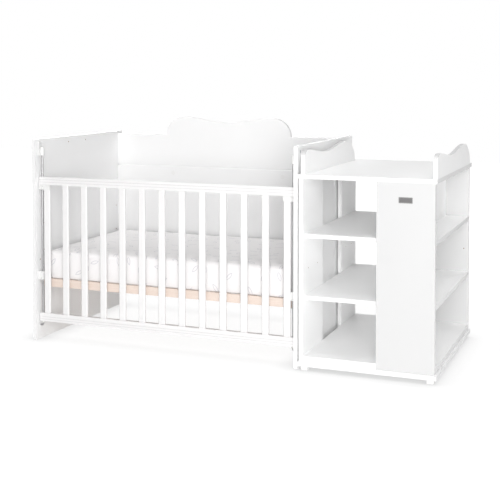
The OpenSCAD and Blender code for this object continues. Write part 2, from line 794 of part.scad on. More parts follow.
module changer_floor() color(white) in_changer() {
    top_z = plinth_z + floor_t;
    difference() {
        block(upright_x1, inner_right, changer_edge, changer_depth, plinth_z, top_z);
        block(panel_left, inner_right + cut, changer_edge - cut, shelf_front, plinth_z - cut, top_z + cut);
        block(panel_left, inner_right + cut, shelf_back, changer_depth + cut, plinth_z - cut, top_z + cut);
    }
}

module upright(y0, y1) color(white) in_changer() difference() {
    block(upright_x0, upright_x1, y0, y1, plinth_z, deck_z);
    joint_dowels();
    pin_holes();
    link_holes();
}

module front_panel() color(white) in_changer() difference() {
    block(panel_left, inner_right, changer_edge, shelf_front, plinth_z, deck_z);
    joint_dowels();
    pin_holes();
}

module back_panel() color(white) in_changer() difference() {
    block(panel_left, inner_right, shelf_back, changer_depth, plinth_z, deck_z);
    joint_dowels();
    pin_holes();
}

module shelf(top_z) color(white) in_changer() difference() {
    block(upright_x1, inner_right, shelf_front, shelf_back, top_z - board_t, top_z);
    divider_dowels();
}

module divider() color(white) in_changer() difference() {
    block(divider_x, divider_x + board_t, shelf_front, shelf_back, upper_shelf_z, deck_z);
    divider_dowels();
}

module changer_top() color(white) in_changer() difference() {
    block(0, changer_w, 0, changer_depth, deck_z, changer_h);
    joint_dowels();
    divider_dowels();
    wing_dowel_set();
}

// Outline of a wing: a round front hump, a long dip, a higher hump and a steep round back
function wing_outline() = let (
    front_r = 50,
    hump_r = 25,
    dip_y = 0.39 * wing_len,
    peak_y = 0.8 * wing_len)
    concat(
        [[wing_len, 0], [0, 0]],
        oval(front_r, wing_front_h - hump_r, front_r, hump_r, 180, 90, 10),
        wave(front_r, wing_front_h, dip_y, wing_dip_h, 14),
        wave(dip_y, wing_dip_h, peak_y, wing_h, 16),
        [for (p = oval(peak_y, 0, wing_len - peak_y, wing_h, 90, 6, 16)) if (p[0] > peak_y + 1) p]);

module wing(x) color(white) in_changer() difference() {
    translate([x, wing_front_inset, changer_h]) rotate([90, 0, 90])
        linear_extrude(board_t) polygon(wing_outline());
    wing_dowel_set();
}

module wooden_dowels() color(beech) {
    in_crib() for (x = back_dowel_x())
        dowel_z(x, back_plane_y - board_t / 2, back_joint_z - dowel_edge, back_joint_z + dowel_edge);
    in_changer() {
        joint_dowels();
        divider_dowels();
        wing_dowel_set();
    }
}

module shelf_pins() color(steel) in_changer() {
    pins_at(upper_pin_z);
    pins_at(lower_pin_z);
}

module link_bolts() color(steel) in_changer() for (p = link_places())
    flush_bolt(-changer_gap - board_t, link_end_x, p[0], p[1]);

module link_spacers() color(plastic) in_changer() for (p = link_places()) difference() {
    spacer_d = 20;
    rod_x(-changer_gap, upright_x0, p[0], p[1], spacer_d);
    rod_x(-changer_gap - cut, upright_x0 + cut, p[0], p[1], bolt_d);
}

// Blank plate, without any lettering
module blank_plate() {
    corner_r = 2;
    plate_x = (panel_left + inner_right - plate_w) / 2;
    color(dark_metal) in_changer()
        translate([plate_x, changer_edge, changer_h - plate_drop - plate_h / 2])
            rotate([90, 0, 0]) linear_extrude(plate_thick)
                round_section(plate_w, plate_h, corner_r, corner_r);
}

// ---------------------------------------------------------------- nodes

end_panel("left");  // left_end_panel
end_panel("right");  // right_end_panel
upper_back_board();
lower_back_board();
panel_bolts();
wooden_dowels();
cover_caps();
top_rail();
bottom_rail();
side_upright(0);  // left_stile
side_upright(slat_count + 1);  // right_stile
for (i = [1:slat_count]) side_upright(i);
rail_bushes();
catch_housing("left");  // left_catch_housing
catch_housing("right");  // right_catch_housing
catch_button("left");  // left_catch_button
catch_button("right");  // right_catch_button
guide_rod("left");  // left_guide_rod
guide_rod("right");  // right_guide_rod
rod_socket("left");  // left_rod_socket
rod_socket("right");  // right_rod_socket
rod_clip("left");  // left_rod_clip
rod_clip("right");  // right_rod_clip
rod_stops();
base_front_rail();
base_back_rail();
base_end_rail("left");  // base_left_rail
base_end_rail("right");  // base_right_rail
base_slats();
base_irons();
base_bolts();
mattress();
changer_feet();
changer_base();
changer_floor();
upright(changer_edge, front_upright_end);  // front_upright
upright(rear_upright_y, changer_depth);  // rear_upright
front_panel();
back_panel();
shelf(upper_shelf_z);  // upper_shelf
shelf(lower_shelf_z);  // lower_shelf
divider();
changer_top();
wing(wing_left_inset);  // left_wing
wing(wing_right_x);  // right_wing
shelf_pins();
link_bolts();
link_spacers();
blank_plate();
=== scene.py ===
"""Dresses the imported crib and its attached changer: finishes, a sewn mattress, light and camera.

The rigid pieces are the frame's own solids, each with a procedural finish named for its real material.
The mattress is a padded piece of its own, swollen by a short cloth simulation and then sewn.
Lengths are in metres in the frame's own axes: +X runs along the crib towards the changer, +Y to the
back and +Z up, with the origin on the floor under the middle of the object.
"""

import logging
import math
from dataclasses import dataclass
from enum import Enum
from typing import Any

import bpy
import numpy as np
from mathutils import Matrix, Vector


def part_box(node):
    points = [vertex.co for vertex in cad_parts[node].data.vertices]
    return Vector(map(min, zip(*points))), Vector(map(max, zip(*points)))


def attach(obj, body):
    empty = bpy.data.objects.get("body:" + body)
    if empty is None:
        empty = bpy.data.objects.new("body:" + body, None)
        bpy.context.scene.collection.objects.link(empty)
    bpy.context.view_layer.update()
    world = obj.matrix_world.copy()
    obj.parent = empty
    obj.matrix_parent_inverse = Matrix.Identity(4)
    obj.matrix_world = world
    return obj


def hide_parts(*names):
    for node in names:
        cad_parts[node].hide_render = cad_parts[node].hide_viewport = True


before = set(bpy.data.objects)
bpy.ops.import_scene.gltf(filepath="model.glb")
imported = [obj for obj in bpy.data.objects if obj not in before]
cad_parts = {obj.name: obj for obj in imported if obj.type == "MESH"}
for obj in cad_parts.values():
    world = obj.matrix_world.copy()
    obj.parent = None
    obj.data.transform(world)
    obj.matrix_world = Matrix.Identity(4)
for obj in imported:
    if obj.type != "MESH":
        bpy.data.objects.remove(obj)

LOG = logging.getLogger("crib_with_changer")

MM = 0.001
Colour = tuple[float, float, float, float]
Point = tuple[float, float, float]
Tree = bpy.types.NodeTree
Socket = bpy.types.NodeSocket


class Axis(Enum):
    """An axis of the frame: the way a board is thin, or the way timber grain runs."""

    X = 0
    Y = 1
    Z = 2


class White(Enum):
    """The whites of the boards' melamine paper, each with the tone of its faint patches.

    They were set together with the lamps and aren't measured. They differ as painted light and shade:
    the lighter ones make up for light that the lamps don't give, and the grey FRONT for light that they
    give too much of. Nothing says that the real boards differ.
    """

    CRIB = ("E5E5E5", "E3E3E3")
    TOP = ("F6F6F6", "F4F4F4")
    SHELVES = ("FDFDFD", "FCFCFC")
    FRONT = ("C6C6C6", "C4C4C4")


# ------------------------------------------------------------------ colour, nodes and meshes


def linear(hex_colour: str) -> Colour:
    """Turns an sRGB hex colour into the linear values that shaders use.

    Args:
        hex_colour: Six hex digits, red first.

    Returns:
        Red, green, blue and an alpha of 1.
    """
    parts = [int(hex_colour[i : i + 2], 16) / 255 for i in (0, 2, 4)]
    red, green, blue = (c / 12.92 if c <= 0.04045 else ((c + 0.055) / 1.055) ** 2.4 for c in parts)
    return red, green, blue, 1.0


def add(
    tree: Tree,
    kind: str,
    inputs: dict[str | int, Any] | None = None,
    **settings: Any,
) -> bpy.types.Node:
    """Adds a node with its settings, values and links.

    Args:
        tree: The node tree that gets the node.
        kind: The node's type, without Blender's "ShaderNode" in front.
        inputs: For each input, by name or number, a value or the socket that feeds it.
        settings: Properties of the node itself, such as its operation.

    Returns:
        The new node.
    """
    made = tree.nodes.new("ShaderNode" + kind)
    for name, value in settings.items():
        setattr(made, name, value)
    for key, value in (inputs or {}).items():
        if isinstance(value, Socket):
            tree.links.new(value, made.inputs[key])
        else:
            made.inputs[key].default_value = value
    return made


def new_tree(name: str) -> tuple[bpy.types.Material, Tree, bpy.types.Node]:
    """Starts a material that has only its output node.

    Args:
        name: The material's name, which says what it is made of and how.

    Returns:
        The material, its node tree and the output node.
    """
    material = bpy.data.materials.new(name)
    material.use_nodes = True
    material.node_tree.nodes.clear()
    return material, material.node_tree, add(material.node_tree, "OutputMaterial")


def shade(tree: Tree, output: bpy.types.Node, inputs: dict[str, Any]) -> None:
    """Ends a material with one Principled shader that has the given inputs."""
    shader = add(tree, "BsdfPrincipled", inputs)
    tree.links.new(shader.outputs[0], output.inputs["Surface"])


def calc(tree: Tree, operation: str, *values: Any, kind: str = "Math") -> Socket:
    """Does one step of arithmetic.

    Args:
        tree: The node tree.
        operation: Blender's name of the step.
        values: Up to three numbers or sockets, in the step's order.
        kind: "Math" for numbers, or "VectorMath" for vectors.

    Returns:
        The result.
    """
    return add(tree, kind, dict(enumerate(values)), operation=operation).outputs[0]


def blended(tree: Tree, share: Socket, first: str | Socket, second: str | Socket) -> Socket:
    """Mixes two colours.

    Args:
        tree: The node tree.
        share: How much of the second colour shows, from 0 to 1.
        first: The first colour, as sRGB hex digits or as a socket.
        second: The second colour, likewise.

    Returns:
        The mixed colour.
    """
    start, end = (linear(colour) if isinstance(colour, str) else colour for colour in (first, second))
    return add(tree, "Mix", {0: share, 6: start, 7: end}, data_type="RGBA").outputs[2]


def between(tree: Tree, value: Socket, low: float, high: float) -> Socket:
    """Carries a value between 0 and 1 over to the range from low to high."""
    return add(tree, "MapRange", {"Value": value, "To Min": low, "To Max": high}).outputs[0]


def bumped(tree: Tree, height: Socket, relief: tuple[float, float]) -> Socket:
    """Tilts the normals by a height pattern, with a relief of bump strength and full height."""
    strength, distance = relief
    return add(tree, "Bump", {"Height": height, "Strength": strength, "Distance": distance}).outputs[0]


def noise(tree: Tree, place: Socket, size: float, detail: float) -> Socket:
    """Makes even noise with features of about the given size, and that many finer octaves."""
    return add(tree, "TexNoise", {"Vector": place, "Scale": 1 / size, "Detail": detail}).outputs["Fac"]


def streaks(
    tree: Tree,
    place: Socket,
    along: Axis,
    width: float,
    length: float,
    detail: float,
    distortion: float = 0.0,
) -> Socket:
    """Makes noise stretched along one axis, as grain and brushing lines are.

    Args:
        tree: The node tree.
        place: The coordinates to read.
        along: The axis that the streaks follow.
        width: Their size across.
        length: Their size along the axis.
        detail: The noise's finer octaves.
        distortion: How far the streaks waver.

    Returns:
        The noise, about one half on average.
    """
    scale = [1 / width] * 3
    scale[along.value] = 1 / length
    stretched = calc(tree, "MULTIPLY", place, tuple(scale), kind="VectorMath")
    inputs = {"Vector": stretched, "Scale": 1.0, "Detail": detail, "Distortion": distortion}
    return add(tree, "TexNoise", inputs).outputs["Fac"]


def past_faces(tree: Tree, place: Socket, lowest: Point, highest: Point) -> bpy.types.Node:
    """Measures how far a point lies past a box's faces along each axis: below 0 inside the box.

    Args:
        tree: The node tree.
        place: The point.
        lowest: The box's lowest corner.
        highest: The box's highest corner.

    Returns:
        A node with the three distances as its outputs.
    """
    low, high = np.array(lowest), np.array(highest)
    off = calc(tree, "SUBTRACT", place, tuple((low + high) / 2), kind="VectorMath")
    away = calc(tree, "ABSOLUTE", off, kind="VectorMath")
    past = calc(tree, "SUBTRACT", away, tuple((high - low) / 2), kind="VectorMath")
    return add(tree, "SeparateXYZ", {0: past})


def mesh_piece(name: str, points: np.ndarray, faces: np.ndarray) -> bpy.types.Object:
    """Puts whole arrays of points and faces into a new smooth mesh object at the origin.

    Args:
        name: The piece's name.
        points: Vertex coordinates in the frame, one row each.
        faces: Vertex numbers of each quad or triangle, one row each, seen anticlockwise from outside.

    Returns:
        The new object, linked to the scene.
    """
    mesh = bpy.data.meshes.new(name)
    mesh.from_pydata(points, [], faces.tolist())
    mesh.polygons.foreach_set("use_smooth", np.ones(len(mesh.polygons), bool))
    mesh.update()
    made = bpy.data.objects.new(name, mesh)
    bpy.context.scene.collection.objects.link(made)
    return made


def grid_faces(rows: int, columns: int, closed: bool) -> np.ndarray:
    """Quads that join a grid of points row by row.

    Args:
        rows: Number of rows of points.
        columns: Number of points in a row.
        closed: Whether the last point of a row joins its first.

    Returns:
        One row of four vertex numbers for each quad.
    """
    across = columns if closed else columns - 1
    row, column = np.meshgrid(np.arange(rows - 1), np.arange(across), indexing="ij")
    after = (column + 1) % columns
    here, above = row * columns, (row + 1) * columns
    corners = [here + column, here + after, above + after, above + column]
    return np.stack(corners, axis=-1).reshape(-1, 4)


def coordinates(piece: bpy.types.Object) -> np.ndarray:
    """Reads a mesh's vertices as one array with a row for each."""
    values = np.empty(len(piece.data.vertices) * 3)
    piece.data.vertices.foreach_get("co", values)
    return values.reshape(-1, 3)


def set_coordinates(piece: bpy.types.Object, points: np.ndarray) -> None:
    """Writes one array of coordinates into a mesh's vertices."""
    piece.data.vertices.foreach_set("co", points.astype(np.float32).ravel())
    piece.data.update()


def apply_modifiers(piece: bpy.types.Object) -> None:
    """Makes what a piece's modifiers give its own mesh, and takes the modifiers off."""
    evaluated = piece.evaluated_get(bpy.context.evaluated_depsgraph_get())
    made = bpy.data.meshes.new_from_object(evaluated)
    piece.modifiers.clear()
    piece.data = made


def smooth_step(value: np.ndarray) -> np.ndarray:
    """Rises smoothly from 0 to 1 as the value does: 3v squared minus 2v cubed."""
    held = np.clip(value, 0, 1)
    return held * held * (3 - 2 * held)


# ------------------------------------------------------------------ finishes


@dataclass(frozen=True)
class BoardCore:
    """The raw inside of a board, which shows only where a hole is drilled into it.

    Everything deeper than the skin inside the board's own box is chipboard.
    """

    lowest: Point
    highest: Point
    skin: float = 0.4 * MM
    chip_size: float = 2.5 * MM
    light_chip: str = "B39A7C"
    dark_chip: str = "7E6850"

    def colour(self, tree: Tree, place: Socket) -> Socket:
        """The mottled colour of pressed chips."""
        return blended(tree, noise(tree, place, self.chip_size, detail=3.0), self.light_chip, self.dark_chip)

    def mask(self, tree: Tree, place: Socket) -> Socket:
        """1 where a point lies deeper in the board's box than its skin, and 0 on its faces.

        The largest of the three distances past the box's faces is below minus the skin there.
        """
        past = past_faces(tree, place, self.lowest, self.highest)
        two = calc(tree, "MAXIMUM", past.outputs[0], past.outputs[1])
        three = calc(tree, "MAXIMUM", two, past.outputs[2])
        return calc(tree, "LESS_THAN", three, -self.skin)


@dataclass(frozen=True)
class PressedMelamine:
    """Chipboard pressed with white melamine paper, its narrow sides banded with glossier ABS.

    To the eye it is an even neutral white with a broad soft sheen. The boards' front edges read as
    crisp bright lines. Their upward-facing edges get a greyer band colour: painted shade, since these
    edges catch less light. The pearl grain of the press plate is about 0.3 mm and can't be seen from
    here, so it is drawn at 1.2 mm and very low.
    """

    thin: Axis
    white: White
    core: BoardCore | None = None
    band: str = "DFDFDF"
    painted_shade_top_band: str = "C8C8C8"
    pearl: float = 1.2 * MM
    patch: float = 180 * MM
    face_roughness: float = 0.6
    band_roughness: float = 0.34
    halfway: float = 0.5
    relief: tuple[float, float] = (0.05, 0.15 * MM)

    def material(self, name: str) -> bpy.types.Material:
        """Builds the material.

        Args:
            name: What is added to the material's name.

        Returns:
            A material that reads Object coordinates and the piece's own normals.
        """
        material, tree, output = new_tree("pressed_melamine_" + name)
        where = add(tree, "TexCoord")
        place = where.outputs["Object"]
        facing = add(tree, "SeparateXYZ", {0: where.outputs["Normal"]})
        along = calc(tree, "ABSOLUTE", facing.outputs[self.thin.value])
        on_edge = calc(tree, "LESS_THAN", along, self.halfway)
        # Bands facing up get a greyer colour: painted shade for the light that top edges catch less of.
        shaded_top_edge = calc(tree, "GREATER_THAN", facing.outputs[2], self.halfway)
        paper = blended(tree, noise(tree, place, self.patch, detail=2.0), *self.white.value)
        bands = blended(tree, shaded_top_edge, self.band, self.painted_shade_top_band)
        colour = blended(tree, on_edge, paper, bands)
        roughness = between(tree, on_edge, self.face_roughness, self.band_roughness)
        if self.core is not None:
            inside = self.core.mask(tree, place)
            colour = blended(tree, inside, colour, self.core.colour(tree, place))
            roughness = calc(tree, "MAXIMUM", roughness, inside)
        normal = bumped(tree, noise(tree, place, self.pearl, detail=1.0), self.relief)
        shade(tree, output, {"Base Color": colour, "Roughness": roughness, "IOR": 1.5, "Normal": normal})
        return material


@dataclass(frozen=True)
class SprayedLacquer:
    """White satin lacquer sprayed on planed timber.

    To the eye it is a satin white, a touch warmer than the boards, and the timber's grain just shows
    through as fine lengthwise ridges. Real pores are 0.2 mm wide, drawn here at 1.5 mm. The rails'
    grooves read as fine grey lines. They are too narrow to show their own shadow from here, so their
    floor is painted grey as shade. That floor faces the front and lies deeper than the rail's front face.
    """

    grain: Axis
    front: float | None = None
    coat: str = "DDDCDC"
    hollow: str = "D9D8D8"
    ridge: float = 1.5 * MM
    ridge_length: float = 90 * MM
    painted_groove_shade: str = "B6B6B6"
    groove_starts: float = 1.0 * MM
    front_facing: float = -0.98
    relief: tuple[float, float] = (0.12, 0.2 * MM)

    def material(self) -> bpy.types.Material:
        """Builds the material, with its ridges along the grain's axis and its grooves behind the front."""
        material, tree, output = new_tree("sprayed_lacquer_along_" + self.grain.name.lower())
        where = add(tree, "TexCoord")
        place = where.outputs["Object"]
        ridges = streaks(tree, place, self.grain, self.ridge, self.ridge_length, detail=2.0)
        colour = blended(tree, ridges, self.coat, self.hollow)
        if self.front is not None:
            depth = add(tree, "SeparateXYZ", {0: place}).outputs["Y"]
            facing = add(tree, "SeparateXYZ", {0: where.outputs["Normal"]}).outputs["Y"]
            deep = calc(tree, "GREATER_THAN", depth, self.front + self.groove_starts)
            flat = calc(tree, "LESS_THAN", facing, self.front_facing)
            # The groove floor turns grey: painted shade standing in for the groove's own shadow.
            colour = blended(tree, calc(tree, "MULTIPLY", deep, flat), colour, self.painted_groove_shade)
        inputs = {
            "Base Color": colour,
            "Roughness": 0.4,
            "IOR": 1.5,
            "Coat Weight": 0.25,
            "Coat Roughness": 0.22,
            "Normal": bumped(tree, ridges, self.relief),
        }
        shade(tree, output, inputs)
        return material


@dataclass(frozen=True)
class MouldedPlastic:
    """A small moulded fitting in ABS, or in soft rubber where it is rougher and greyer.

    To the eye it is a little greyer and glossier than the crib's boards, with the fine even texture of
    a sparked mould, 0.1 mm in reality and drawn at 0.8 mm.
    """

    name: str
    colour: str
    roughness: float
    spread: float = 0.05
    texture: float = 0.8 * MM
    relief: tuple[float, float] = (0.08, 0.1 * MM)

    def material(self) -> bpy.types.Material:
        """Builds the material."""
        material, tree, output = new_tree(self.name)
        place = add(tree, "TexCoord").outputs["Object"]
        sparks = noise(tree, place, self.texture, detail=2.0)
        inputs = {
            "Base Color": linear(self.colour),
            "Roughness": between(tree, sparks, self.roughness - self.spread, self.roughness + self.spread),
            "IOR": 1.53,
            "Normal": bumped(tree, sparks, self.relief),
        }
        shade(tree, output, inputs)
        return material


@dataclass(frozen=True)
class ZincPlatedSteel:
    """Drawn or pressed steel with a thin bright zinc plating.

    To the eye it is a pale bluish grey metal, a little cloudy, with fine lines along the way it was
    drawn. The clouds are 6 mm and the drawing lines 0.1 mm, drawn at 0.7 mm.
    """

    drawn: Axis
    zinc: str = "D3D6D9"
    cloud: str = "C2C6CA"
    cloud_size: float = 6 * MM
    line_width: float = 0.7 * MM
    line_length: float = 40 * MM
    roughness: tuple[float, float] = (0.26, 0.4)
    relief: tuple[float, float] = (0.06, 0.1 * MM)

    def material(self) -> bpy.types.Material:
        """Builds the material, with its drawing lines along the given axis."""
        material, tree, output = new_tree("zinc_plated_steel_along_" + self.drawn.name.lower())
        place = add(tree, "TexCoord").outputs["Object"]
        clouds = noise(tree, place, self.cloud_size, detail=3.0)
        lines = streaks(tree, place, self.drawn, self.line_width, self.line_length, detail=1.0)
        inputs = {
            "Base Color": blended(tree, clouds, self.zinc, self.cloud),
            "Metallic": 1.0,
            "Roughness": between(tree, lines, *self.roughness),
            "Normal": bumped(tree, lines, self.relief),
        }
        shade(tree, output, inputs)
        return material


@dataclass(frozen=True)
class ChromedRod:
    """A drawn steel rod with a satin chromed surface, ground smooth for sliding.

    To the eye it is a soft grey line without sharp mirror images, darker only along its shaded
    flank. Grinding lines of 0.05 mm are drawn at 0.6 mm, along the rod.
    """

    chrome: str = "A2A2A3"
    roughness: float = 0.36
    spread: float = 0.04
    line_width: float = 0.6 * MM
    line_length: float = 60 * MM

    def material(self) -> bpy.types.Material:
        """Builds the material, with its grinding lines up the rod."""
        material, tree, output = new_tree("chromed_ground_steel")
        place = add(tree, "TexCoord").outputs["Object"]
        lines = streaks(tree, place, Axis.Z, self.line_width, self.line_length, detail=1.0)
        rough = between(tree, lines, self.roughness - self.spread, self.roughness + self.spread)
        shade(tree, output, {"Base Color": linear(self.chrome), "Metallic": 1.0, "Roughness": rough})
        return material


@dataclass(frozen=True)
class PlanedBeech:
    """Planed beech without a finish.

    To the eye it is a pale peach timber with faint long bands of growth, 5 mm apart, and the short
    darker flecks that only beech has, 3 mm long and 0.4 mm wide, drawn here over twice as large.
    """

    grain: Axis
    early: str = "DACDC4"
    late: str = "CDBCB0"
    fleck: str = "C6A491"
    band_width: float = 5 * MM
    band_length: float = 260 * MM
    fleck_width: float = 1 * MM
    fleck_length: float = 7 * MM
    fleck_from: float = 0.66
    fleck_full: float = 0.74
    fleck_strength: float = 0.5
    relief: tuple[float, float] = (0.15, 0.2 * MM)

    def material(self) -> bpy.types.Material:
        """Builds the material, with bands and flecks along the grain's axis."""
        material, tree, output = new_tree("planed_beech_along_" + self.grain.name.lower())
        place = add(tree, "TexCoord").outputs["Object"]
        size = (self.band_width, self.band_length)
        bands = streaks(tree, place, self.grain, *size, detail=2.0, distortion=0.3)
        dots = streaks(tree, place, self.grain, self.fleck_width, self.fleck_length, detail=0.0)
        steps = {"From Min": self.fleck_from, "From Max": self.fleck_full, "To Max": self.fleck_strength}
        rare = add(tree, "MapRange", {"Value": dots, **steps})
        wood = blended(tree, bands, self.early, self.late)
        inputs = {
            "Base Color": blended(tree, rare.outputs[0], wood, self.fleck),
            "Roughness": 0.55,
            "IOR": 1.5,
            "Normal": bumped(tree, bands, self.relief),
        }
        shade(tree, output, inputs)
        return material


@dataclass(frozen=True)
class BrushedPlate:
    """A small brushed grey metal plate, blank, with a fine lighter rim.

    To the eye it is the one dark spot on the object: satin dark grey, with its brushing lines, 0.1 mm in
    reality and drawn at 0.5 mm, along its length, and a lighter line just inside its outline.
    """

    lowest: Point
    highest: Point
    metal: str = "706F6F"
    dark_line: str = "5F5E5E"
    rim: str = "B4B4B3"
    rim_inset: float = 1.6 * MM
    rim_width: float = 0.7 * MM
    line_width: float = 0.5 * MM
    line_length: float = 30 * MM

    def material(self) -> bpy.types.Material:
        """Builds the material; the rim is where the distance to the outline is the rim's inset."""
        material, tree, output = new_tree("brushed_grey_metal")
        place = add(tree, "TexCoord").outputs["Object"]
        lines = streaks(tree, place, Axis.X, self.line_width, self.line_length, detail=1.0)
        past = past_faces(tree, place, self.lowest, self.highest)
        outline = calc(tree, "MAXIMUM", past.outputs[0], past.outputs[2])
        on_rim = calc(tree, "COMPARE", outline, -self.rim_inset, self.rim_width / 2)
        colour = blended(tree, on_rim, blended(tree, lines, self.metal, self.dark_line), self.rim)
        shade(tree, output, {"Base Color": colour, "Metallic": 0.6, "Roughness": 0.42})
        return material


@dataclass(frozen=True)
class PrintedJersey:
    """White knitted jersey, printed with a loose scatter of petals in pale grey outline.

    To the eye it is a soft matt white with a little fuzz at grazing angles. A knitted wale is 1 mm wide
    and is drawn at 2.5 mm; the low parts between wales are a touch greyer, painted shade of the knit.
    The petals are 36 mm long on a free layout, one to a cell of 74 mm.
    """

    yarn: str = "E3E1E1"
    gap: str = "DDDBDB"
    ink: str = "B0B0B8"
    wale: float = 2.5 * MM
    cell: float = 74 * MM
    arc: float = 30.5 * MM
    offset: float = 24.5 * MM
    line: float = 4.2 * MM
    ink_strength: float = 0.8
    courses_per_wale: float = 0.8
    fuzz: float = 18 * MM
    relief: tuple[float, float] = (0.2, 0.3 * MM)

    def petals(self, tree: Tree, cloth: Socket) -> Socket:
        """Mask of the print: in each cell the outline of the lens that two discs share.

        The discs lie to either side of the petal's middle. The larger of the two distances from their
        middles equals the arc's radius on the outline, and is smaller inside it.

        Args:
            tree: The node tree.
            cloth: The cloth's own coordinates in metres.

        Returns:
            1 on the middle of the line, falling to 0 at its soft edges.
        """
        cells = calc(tree, "MULTIPLY", cloth, (1 / self.cell,) * 3, kind="VectorMath")
        spread = {"Vector": cells, "Scale": 1.0, "Randomness": 0.7}
        scatter = add(tree, "TexVoronoi", spread, voronoi_dimensions="2D")
        local = calc(tree, "SUBTRACT", cells, scatter.outputs["Position"], kind="VectorMath")
        chance = add(tree, "SeparateColor", {0: scatter.outputs["Color"]})
        turn = calc(tree, "MULTIPLY", chance.outputs[0], 2 * math.pi)
        turned = add(tree, "VectorRotate", {"Vector": local, "Angle": turn}, rotation_type="Z_AXIS")
        flat = calc(tree, "MULTIPLY", turned.outputs[0], (1.0, 1.0, 0.0), kind="VectorMath")
        reaches = []
        for side in (-1, 1):
            middle = (side * self.offset / self.cell, 0.0, 0.0)
            away = add(tree, "VectorMath", {0: flat, 1: middle}, operation="DISTANCE")
            reaches.append(away.outputs["Value"])
        reach = calc(tree, "MAXIMUM", *reaches)
        off = calc(tree, "ABSOLUTE", calc(tree, "SUBTRACT", reach, self.arc / self.cell))
        fade = {"Value": off, "From Max": self.line / 2 / self.cell, "To Min": 1.0, "To Max": 0.0}
        return add(tree, "MapRange", fade, interpolation_type="SMOOTHSTEP").outputs[0]

    def material(self) -> bpy.types.Material:
        """Builds the material, which follows the piece's own UV map, laid out in metres."""
        material, tree, output = new_tree("printed_cotton_jersey")
        cloth = add(tree, "UVMap", uv_map="cloth").outputs[0]
        print_mask = self.petals(tree, cloth)
        parts = add(tree, "SeparateXYZ", {0: cloth})
        turns = 2 * math.pi / self.wale
        wales = calc(tree, "SINE", calc(tree, "MULTIPLY", parts.outputs[0], turns))
        courses = calc(tree, "SINE", calc(tree, "MULTIPLY", parts.outputs[1], turns * self.courses_per_wale))
        knit = calc(tree, "MULTIPLY", wales, courses)
        height = calc(tree, "ADD", knit, noise(tree, cloth, self.fuzz, detail=4.0))
        raised = add(tree, "MapRange", {"Value": knit, "From Min": -1.0, "From Max": 1.0})
        # Between the wales the white turns a touch greyer: painted shade in the knit's low parts.
        white = blended(tree, raised.outputs[0], self.gap, self.yarn)
        inked = calc(tree, "MULTIPLY", print_mask, self.ink_strength)
        inputs = {
            "Base Color": blended(tree, inked, white, self.ink),
            "Roughness": 0.85,
            "IOR": 1.5,
            "Sheen Weight": 0.25,
            "Sheen Roughness": 0.5,
            "Normal": bumped(tree, height, self.relief),
        }
        shade(tree, output, inputs)
        return material


def dress(node: str, material: bpy.types.Material) -> None:
    """Gives a CAD node's solid its finish in all of its material slots.

    Args:
        node: The node's name in the frame.
        material: The finish.
    """
    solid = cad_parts[node]
    for holder in solid.material_slots:
        holder.material = material
    if not solid.material_slots:
        solid.data.materials.append(material)
    LOG.info("%s: %s", node, material.name)


# ------------------------------------------------------------------ sub-assemblies


@dataclass
class BoardWork:
    """All the coated boards of the crib and of the changer."""

    drilled: tuple[tuple[str, Axis, White], ...] = (
        ("left_end_panel", Axis.X, White.CRIB),
        ("right_end_panel", Axis.X, White.TOP),
        ("front_upright", Axis.X, White.SHELVES),
        ("rear_upright", Axis.X, White.SHELVES),
        ("front_panel", Axis.Y, White.FRONT),
        ("back_panel", Axis.Y, White.FRONT),
    )
    plain: tuple[tuple[str, Axis, White], ...] = (
        ("upper_back_board", Axis.Y, White.CRIB),
        ("lower_back_board", Axis.Y, White.CRIB),
        ("divider", Axis.X, White.SHELVES),
        ("left_wing", Axis.X, White.TOP),
        ("right_wing", Axis.X, White.TOP),
        ("changer_base", Axis.Z, White.SHELVES),
        ("changer_floor", Axis.Z, White.SHELVES),
        ("upper_shelf", Axis.Z, White.SHELVES),
        ("lower_shelf", Axis.Z, White.SHELVES),
        ("changer_top", Axis.Z, White.TOP),
    )

    def build(self) -> None:
        """Dresses every board; those with open holes show raw chipboard inside them."""
        for node, thin, white in self.drilled:
            low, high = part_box(node)
            dress(node, PressedMelamine(thin, white, BoardCore(tuple(low), tuple(high))).material(node))
        shared: dict[tuple[Axis, White], bpy.types.Material] = {}
        for node, thin, white in self.plain:
            if (thin, white) not in shared:
                name = f"{white.name.lower()}_thin_along_{thin.name.lower()}"
                shared[thin, white] = PressedMelamine(thin, white).material(name)
            dress(node, shared[thin, white])


@dataclass
class DropSide:
    """The slatted side that slides up and down on two rods, with its catches."""

    bars: tuple[str, ...] = ("left_stile", *(f"drop_slat_{i}" for i in range(1, 12)), "right_stile")
    rails: tuple[str, ...] = ("top_rail", "bottom_rail")
    fittings: tuple[str, ...] = (
        "rail_bushes",
        "left_catch_housing",
        "right_catch_housing",
        "left_catch_button",
        "right_catch_button",
    )

    def build(self, plastic: bpy.types.Material) -> None:
        """Dresses the bars and rails with the grain along them, and the fittings in plastic.

        Args:
            plastic: The white plastic of the fittings.
        """
        upright = SprayedLacquer(Axis.Z).material()
        level = SprayedLacquer(Axis.X, front=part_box(self.rails[0])[0].y).material()
        for node in self.bars:
            dress(node, upright)
        for node in self.rails:
            dress(node, level)
        for node in self.fittings:
            dress(node, plastic)


